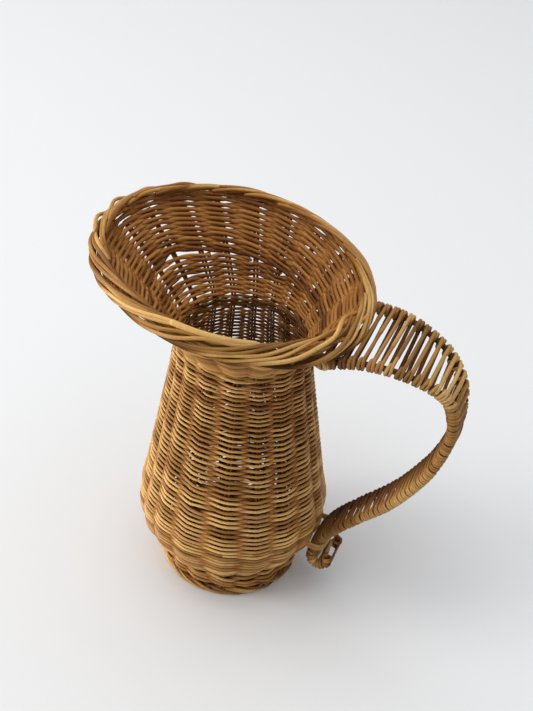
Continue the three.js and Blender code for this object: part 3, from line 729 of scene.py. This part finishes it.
# rods that come over the edge near this azimuth stand off loosely, most at this angle of their roll
LOOSE_AZIMUTH = math.radians(152)
LOOSE_AHEAD, LOOSE_BREADTH, LOOSE_BY = 0.75, 0.62, 4.6
LOOSE_ROLL, LOOSE_ROLL_BREADTH = 0.9, 0.5
bulge = np.exp(-((roll - LOOSE_ROLL) / LOOSE_ROLL_BREADTH) ** 2)
rim_draw = np.random.default_rng(71)
rim_rods = []
for start in range(STAKES):
    begin = stake_azimuth(start) + rim_draw.normal(0, 0.02)
    sway = smooth_curve(
        np.linspace(0, 1, SWAY_KNOTS), rim_draw.normal(0, RIM_SWAY, SWAY_KNOTS), rim_share)
    loose = rim_draw.uniform(0.0, 1.2)
    if abs(angle_from(LOOSE_AZIMUTH, begin + LOOSE_AHEAD)) < LOOSE_BREADTH:
        loose = LOOSE_BY
    for member in range(2):
        azimuth = begin + SECOND_START * member + rim_share * RIM_SWEEP
        narrow = np.exp(-(angle_from(NARROW_AZIMUTH, azimuth) / NARROW_BREADTH) ** 2)
        across = (COLLAR_REACH - NARROW_BY * narrow) * np.cos(roll)
        proud = rim_draw.uniform(*PROUD_RANGE) * np.sin(roll)
        if member == 0:
            proud = proud + loose * bulge
            across = across + 0.3 * loose * bulge
        wander = smooth_curve(np.linspace(0, 1, WANDER_KNOTS),
                              rim_draw.normal(0, RIM_WANDER, WANDER_KNOTS), rim_share)
        centre, outer, face = rim_frame(azimuth)
        path = (centre + outer * (across + sway + wander)[:, None]
                + face * (proud + 0.5 * wander)[:, None])
        girth = np.linspace(*RIM_GIRTH, RIM_POINTS) * rim_draw.uniform(*RIM_GIRTH_RANGE)
        # painted shade where it lies low in the collar, and less on the inner edge, which the light
        # reaches
        painted_shade = np.clip(0.8 - 0.36 * proud, 0, 0.9) * np.where(roll < 1.6, 1, 0.5)
        points = CUT_POINTS if rim_draw.random() < CUT_SHARE else RIM_POINTS
        rim_rods.append(rod(path[:points], girth[:points], (face + outer * 0.3)[:points],
                            RIM_SIDES, rim_draw.uniform(0, 1), painted_shade[:points]))
# one thick butt end lies along the inner edge at the front, on top of the rest, and sinks in
BUTT_START_DEGREES, BUTT_TURN_DEGREES = -92.5, 34
BUTT_GIRTH = (2.5, 2.2)
BUTT_INSIDE, BUTT_INWARDS = 6.2, 2.0
BUTT_PROUD, BUTT_SINKS = 5.2, 5.4
share = np.linspace(0, 1, 40)
centre, outer, face = rim_frame(np.radians(BUTT_START_DEGREES + BUTT_TURN_DEGREES * share))
path = (centre - outer * (BUTT_INSIDE + BUTT_INWARDS * share)[:, None]
        + face * (BUTT_PROUD - BUTT_SINKS * share ** 2)[:, None])
rim_rods.append(rod(path, np.linspace(*BUTT_GIRTH, len(share)), face, RIM_SIDES, 0.15))
willow_piece("rolled_rim_border", rim_rods, border_willow, "willow_border", "rim_core",
             *[f"rim_rod_{number}" for number in range(1, 7)])


# Handle rails: two stout rods, wide apart under the rim and close together below, each bent into
# the scroll at the bottom. Almost all of each is wrapped.

# stations along the handle: x, z and half the distance between the rails
RAIL_STATIONS = np.array([
    [72.5, 312, 56.5], [81.7, 313.5, 49.6], [98.4, 316.8, 45.4], [116.4, 320.1, 41.2],
    [136.6, 320.2, 37.6], [157.7, 315.6, 32.3], [177.5, 307, 26.7], [192, 293.5, 20.2],
    [199, 275, 16.6], [201, 250, 16.5], [194.3, 217, 16], [183.5, 189, 16], [161.3, 150, 15.6],
    [133, 115.7, 15], [110.5, 87.2, 15.2], [101, 70, 15.4], [95, 53, 15.4], [95.7, 40.8, 15.4],
    [104.3, 36.2, 15], [112, 43.8, 14.8], [109.2, 54.5, 14.6]])
rail_steps = np.linspace(0, len(RAIL_STATIONS) - 1, 801)
rail_line = smooth_curve(np.arange(len(RAIL_STATIONS)), RAIL_STATIONS, rail_steps)
rail_length = np.concatenate([[0], np.cumsum(np.hypot(*np.diff(rail_line[:, :2], axis=0).T))])


def rail_at(length):
    """Middle between the rails, half the distance between them, and the way outward, at lengths
    along the handle."""
    x, z, half = (np.interp(length, rail_length, rail_line[:, column]) for column in range(3))
    ahead_x = np.interp(length, rail_length, np.gradient(rail_line[:, 0], rail_length))
    ahead_z = np.interp(length, rail_length, np.gradient(rail_line[:, 1], rail_length))
    zero = np.zeros_like(x)
    ahead = unit(np.stack([ahead_x, zero, ahead_z], -1))
    out = np.stack([-ahead[:, 2], zero, ahead[:, 0]], -1)
    return np.stack([x, zero, z], -1), half, ahead, out


RAIL_RADIUS = 2.6
RAIL_POINTS = 150
RAIL_TONE = 0.4
# painted shade on a rail: dark under its wrapping, and paler at its end
WRAPPED_PAINTED_SHADE, END_PAINTED_SHADE = 0.8, 0.3
ACROSS = np.array([0, 1, 0])
HANDS = ((-1, "near"), (1, "far"))
length = np.linspace(0, rail_length[-1], RAIL_POINTS)
middle, half, ahead, out = rail_at(length)
painted_shade = np.where(length < rail_length[-1], WRAPPED_PAINTED_SHADE, END_PAINTED_SHADE)
for hand, word in HANDS:
    path = middle + ACROSS * (hand * half)[:, None]
    rail = rod(path, RAIL_RADIUS, out, THICK_SIDES, RAIL_TONE, painted_shade)
    willow_piece(f"rail_{word}", [rail], stake_willow, "willow_border", f"handle_rail_{word}")


# Handle lacing: one supple rod after another is wound round both rails. On the wide part and the
# scroll it goes one and a half times round each rail and crosses above and below. On the narrow part
# it goes once and a half round the near rail and only over the far one, so the near one is covered.
lacing_willow = willow_material(
    "lacing_willow", (0.74, 0.46, 0.16), (0.42, 0.21, 0.05), (0.13, 0.047, 0.009), weathering=0.55)
handle_draw = np.random.default_rng(81)
# half turns round the near rail, and points in a half turn and in a crossing
NEAR_HALVES = 3
HALF_POINTS, CROSS_POINTS = 5, 5
# parts of a loop's length that go by round a rail, in three half turns or one, and in a crossing of
# a loop that has three half turns round each rail or only one round the far one
THREE_HALVES_PART, ONE_HALF_PART = 0.3, 0.16
WIDE_CROSSING_PART, NARROW_CROSSING_PART = 0.2, 0.27
# how far three half turns spread out both ways, and how far loops stray, again as parts of a loop
HALVES_SPREAD = 0.1
LOOP_JITTER = 0.09
CROSSING_BOW = (-0.3, 1.4)
LACING_TAPER = (1.08, 0.92)


def laced_rods(first, last, loop, strand, far_halves, loops_each):
    """Lacing between two lengths along the handle. Loop is the length of a loop, strand the radius
    of the rod, far_halves the half turns round the far rail, and loops_each the fewest loops of one
    rod and one more than the most."""
    loops = int(round((last - first) / loop))
    step = (last - first) / loops
    lengths, hands, angles, bows = [], [], [], []
    for number in range(loops):
        at = first + number * step + handle_draw.normal(0, LOOP_JITTER * step)
        for hand, halves in ((1, far_halves), (-1, NEAR_HALVES)):
            # round a rail
            gain, spread = THREE_HALVES_PART, HALVES_SPREAD
            if halves < NEAR_HALVES:
                gain, spread = ONE_HALF_PART, 0.0
            share = np.linspace(0, 1, HALF_POINTS * halves + 1)
            lengths.append(at + step * np.interp(
                share, [0, 1 / 6, 5 / 6, 1], [0, -spread, gain + spread, gain]))
            hands.append(np.full(len(share), float(hand)))
            angles.append(hand * np.pi / 2 - share * halves * np.pi)
            bows.append(np.zeros(len(share)))
            at += step * gain
            # and across to the other rail
            pace = step * (WIDE_CROSSING_PART if far_halves == NEAR_HALVES else NARROW_CROSSING_PART)
            share = (np.arange(CROSS_POINTS) + 1) / (CROSS_POINTS + 1)
            lengths.append(at + pace * share)
            hands.append(hand * (1 - 2 * share))
            angles.append(np.full(CROSS_POINTS, -hand * np.pi / 2))
            bows.append(np.sin(np.pi * share) * handle_draw.uniform(*CROSSING_BOW))
            at += pace
    lengths, hands, angles, bows = (np.concatenate(item) for item in (lengths, hands, angles, bows))
    middle, half, ahead, out = rail_at(lengths)
    sideways = np.where(np.abs(hands) < 1, 0, np.cos(angles)) * (RAIL_RADIUS + strand)
    outwards = np.sin(angles) * (RAIL_RADIUS + strand + bows)
    path = middle + ACROSS * (hands * half + sideways)[:, None] + out * outwards[:, None]
    loop_points = HALF_POINTS * (far_halves + NEAR_HALVES) + 2 + 2 * CROSS_POINTS
    rods, start = [], 0
    while start < len(path) - 2:
        end = start + loop_points * int(handle_draw.integers(*loops_each))
        if len(path) - end < loop_points:
            end = len(path)
        girth = strand * np.linspace(*LACING_TAPER, end - start)
        # painted shade on the underside, and on the narrow part also towards the far rail
        painted_shade = np.clip(-0.7 * np.sin(angles[start:end]), 0, 1)
        tone = handle_draw.uniform(0.0, 0.95)
        if far_halves == NEAR_HALVES:
            tone = 0.3 + 0.7 * tone
        else:
            painted_shade = painted_shade * 0.4 + 0.3 * (1 + hands[start:end])
        rods.append(rod(path[start:end], girth, ahead[start:end], LACING_SIDES, tone, painted_shade))
        start = end - 1
    return rods


# lengths along the handle at four places between its stations
lacing_start, lacing_end, binding_end, scroll_end = np.interp(
    [1.2, 8.2, 16.2, 19.55], rail_steps, rail_length)
willow_piece("open_lacing", laced_rods(
    lacing_start, lacing_end, loop=7.8, strand=1.75, far_halves=3, loops_each=(1, 3)),
    lacing_willow, "willow_lacing", "handle_lacing")
binding_rods = laced_rods(
    lacing_end + 1, binding_end, loop=5.8, strand=1.27, far_halves=1, loops_each=(4, 8))
binding_rods += laced_rods(
    binding_end + 0.5, scroll_end, loop=6.6, strand=1.27, far_halves=3, loops_each=(1, 3))
willow_piece("close_binding", binding_rods, lacing_willow, "willow_lacing", "handle_binding")


# Ties: thin rod wound through the wall and round the rails, under the rim's border on each side and
# at the belly, where the handle comes back to the body.
TIE_RADIUS = 1.2
RIM_TIE_AZIMUTH = math.radians(27.7)
RIM_TIE_REACH, RIM_TIE_HEIGHT = 96.5, 315
RIM_TIE_OUT, RIM_TIE_UP = 12, 6.0
RIM_TIE_TURNS, RIM_TIE_PITCH = 3.2, 2.5
angle = np.linspace(0, 2 * np.pi * RIM_TIE_TURNS, int(20 * RIM_TIE_TURNS))
shift = (angle / (2 * np.pi) - RIM_TIE_TURNS / 2) * RIM_TIE_PITCH
for hand, word in HANDS:
    azimuth = hand * RIM_TIE_AZIMUTH
    out = np.array([math.cos(azimuth), math.sin(azimuth), 0])
    round_wall = np.array([-out[1], out[0], 0])
    centre = out * RIM_TIE_REACH + [0, 0, RIM_TIE_HEIGHT]
    path = (centre + np.outer(np.cos(angle), out * RIM_TIE_OUT)
            + np.outer(np.sin(angle), [0, 0, RIM_TIE_UP]) + np.outer(shift, round_wall))
    tie = rod(path, TIE_RADIUS, round_wall, THIN_SIDES, 0.3)
    willow_piece(f"rim_tie_{word}", [tie], lacing_willow, "willow_lacing",
                 f"upper_handle_tie_{word}")
# the tie at the belly goes round both rails in a rounded square
BELLY_TIE_X, BELLY_TIE_HEIGHT = 95.8, 66
BELLY_TIE_DEPTH, BELLY_TIE_BREADTH = 11.8, 21.8
BELLY_TIE_TURNS, BELLY_TIE_PITCH = 3.1, 2.4
angle = np.linspace(0, 2 * np.pi * BELLY_TIE_TURNS, 120)
corner = np.sign(np.cos(angle)) * np.abs(np.cos(angle)) ** 0.5
flank = np.sign(np.sin(angle)) * np.abs(np.sin(angle)) ** 0.5
rise = BELLY_TIE_HEIGHT + (angle / (2 * np.pi) - BELLY_TIE_TURNS / 2) * BELLY_TIE_PITCH
tie_path = np.stack(
    [BELLY_TIE_X + BELLY_TIE_DEPTH * corner, BELLY_TIE_BREADTH * flank, rise], -1)
willow_piece("belly_tie", [rod(tie_path, TIE_RADIUS, UP, THIN_SIDES, 0.5)], lacing_willow,
             "willow_lacing", "lower_handle_tie")


# Setting: a plain white floor in soft daylight from above and from the left. Sizes and places are
# in metres from here on.
FLOOR_REACH = 6
floor_white = bpy.data.materials.new("floor_white")
floor_white.use_nodes = True
floor_surface = floor_white.node_tree.nodes["Principled BSDF"]
floor_surface.inputs["Base Color"].default_value = (0.88, 0.885, 0.885, 1)
floor_surface.inputs["Roughness"].default_value = 0.8
floor_mesh = bpy.data.meshes.new("floor")
floor_mesh.from_pydata(
    [(-FLOOR_REACH, -FLOOR_REACH, 0), (FLOOR_REACH, -FLOOR_REACH, 0),
     (FLOOR_REACH, FLOOR_REACH, 0), (-FLOOR_REACH, FLOOR_REACH, 0)], [], [(0, 1, 2, 3)])
floor_mesh.materials.append(floor_white)
floor = bpy.data.objects.new("floor", floor_mesh)
bpy.context.scene.collection.objects.link(floor)

sky = bpy.data.worlds.new("daylight")
bpy.context.scene.world = sky
sky.use_nodes = True
background = sky.node_tree.nodes["Background"]
background.inputs["Color"].default_value = (0.93, 0.96, 1.0, 1)
background.inputs["Strength"].default_value = 0.27


def soft_light(name, place, aim, size, power, color):
    lamp = bpy.data.lights.new(name, "AREA")
    lamp.shape = "DISK"
    lamp.size = size
    lamp.energy = power
    lamp.color = color
    light = bpy.data.objects.new(name, lamp)
    light.location = place
    light.rotation_euler = (Vector(aim) - Vector(place)).to_track_quat("-Z", "Y").to_euler()
    bpy.context.scene.collection.objects.link(light)


soft_light("window", place=(-4.2, -1.9, 1.0), aim=(0, 0, 0.15), size=2.4, power=160,
           color=(1.0, 0.985, 0.96))
soft_light("ceiling", place=(-0.6, 0.2, 4.0), aim=(0, 0.2, 0), size=9.0, power=194,
           color=(0.97, 0.98, 1.0))
soft_light("skylight", place=(-0.9, -0.5, 3.4), aim=(0, 0, 0.1), size=1.4, power=12,
           color=(1.0, 0.99, 0.97))
bpy.context.scene.view_settings.view_transform = "Standard"

# Camera: it stands where the photograph was taken from, fitted to the outline of the pitcher.
CAMERA_DOWN = math.radians(38.28)
CAMERA_ROLL = math.radians(4.94)
CAMERA_YAW = math.radians(20)
CAMERA_PLACE = Vector((0.0218, -0.7148, 0.8222))
camera_data = bpy.data.cameras.new("photo_camera")
camera_data.sensor_width = 36
camera_data.lens = 50.63
camera = bpy.data.objects.new("photo_camera", camera_data)
bpy.context.scene.collection.objects.link(camera)
sine, cosine = math.sin(CAMERA_DOWN), math.cos(CAMERA_DOWN)
tilt_sine, tilt_cosine = math.sin(CAMERA_ROLL), math.cos(CAMERA_ROLL)
right = Vector((tilt_cosine, tilt_sine * sine, tilt_sine * cosine))
up = Vector((-tilt_sine, tilt_cosine * sine, tilt_cosine * cosine))
back = Vector((0, -cosine, sine))
axes = Matrix((right, up, back)).transposed().to_4x4()
axes.translation = CAMERA_PLACE
turned = Matrix.Rotation(CAMERA_YAW, 4, "Z") @ axes
turned.translation += Vector(AXIS / MM_PER_METRE)
camera.matrix_world = turned
bpy.context.scene.camera = camera
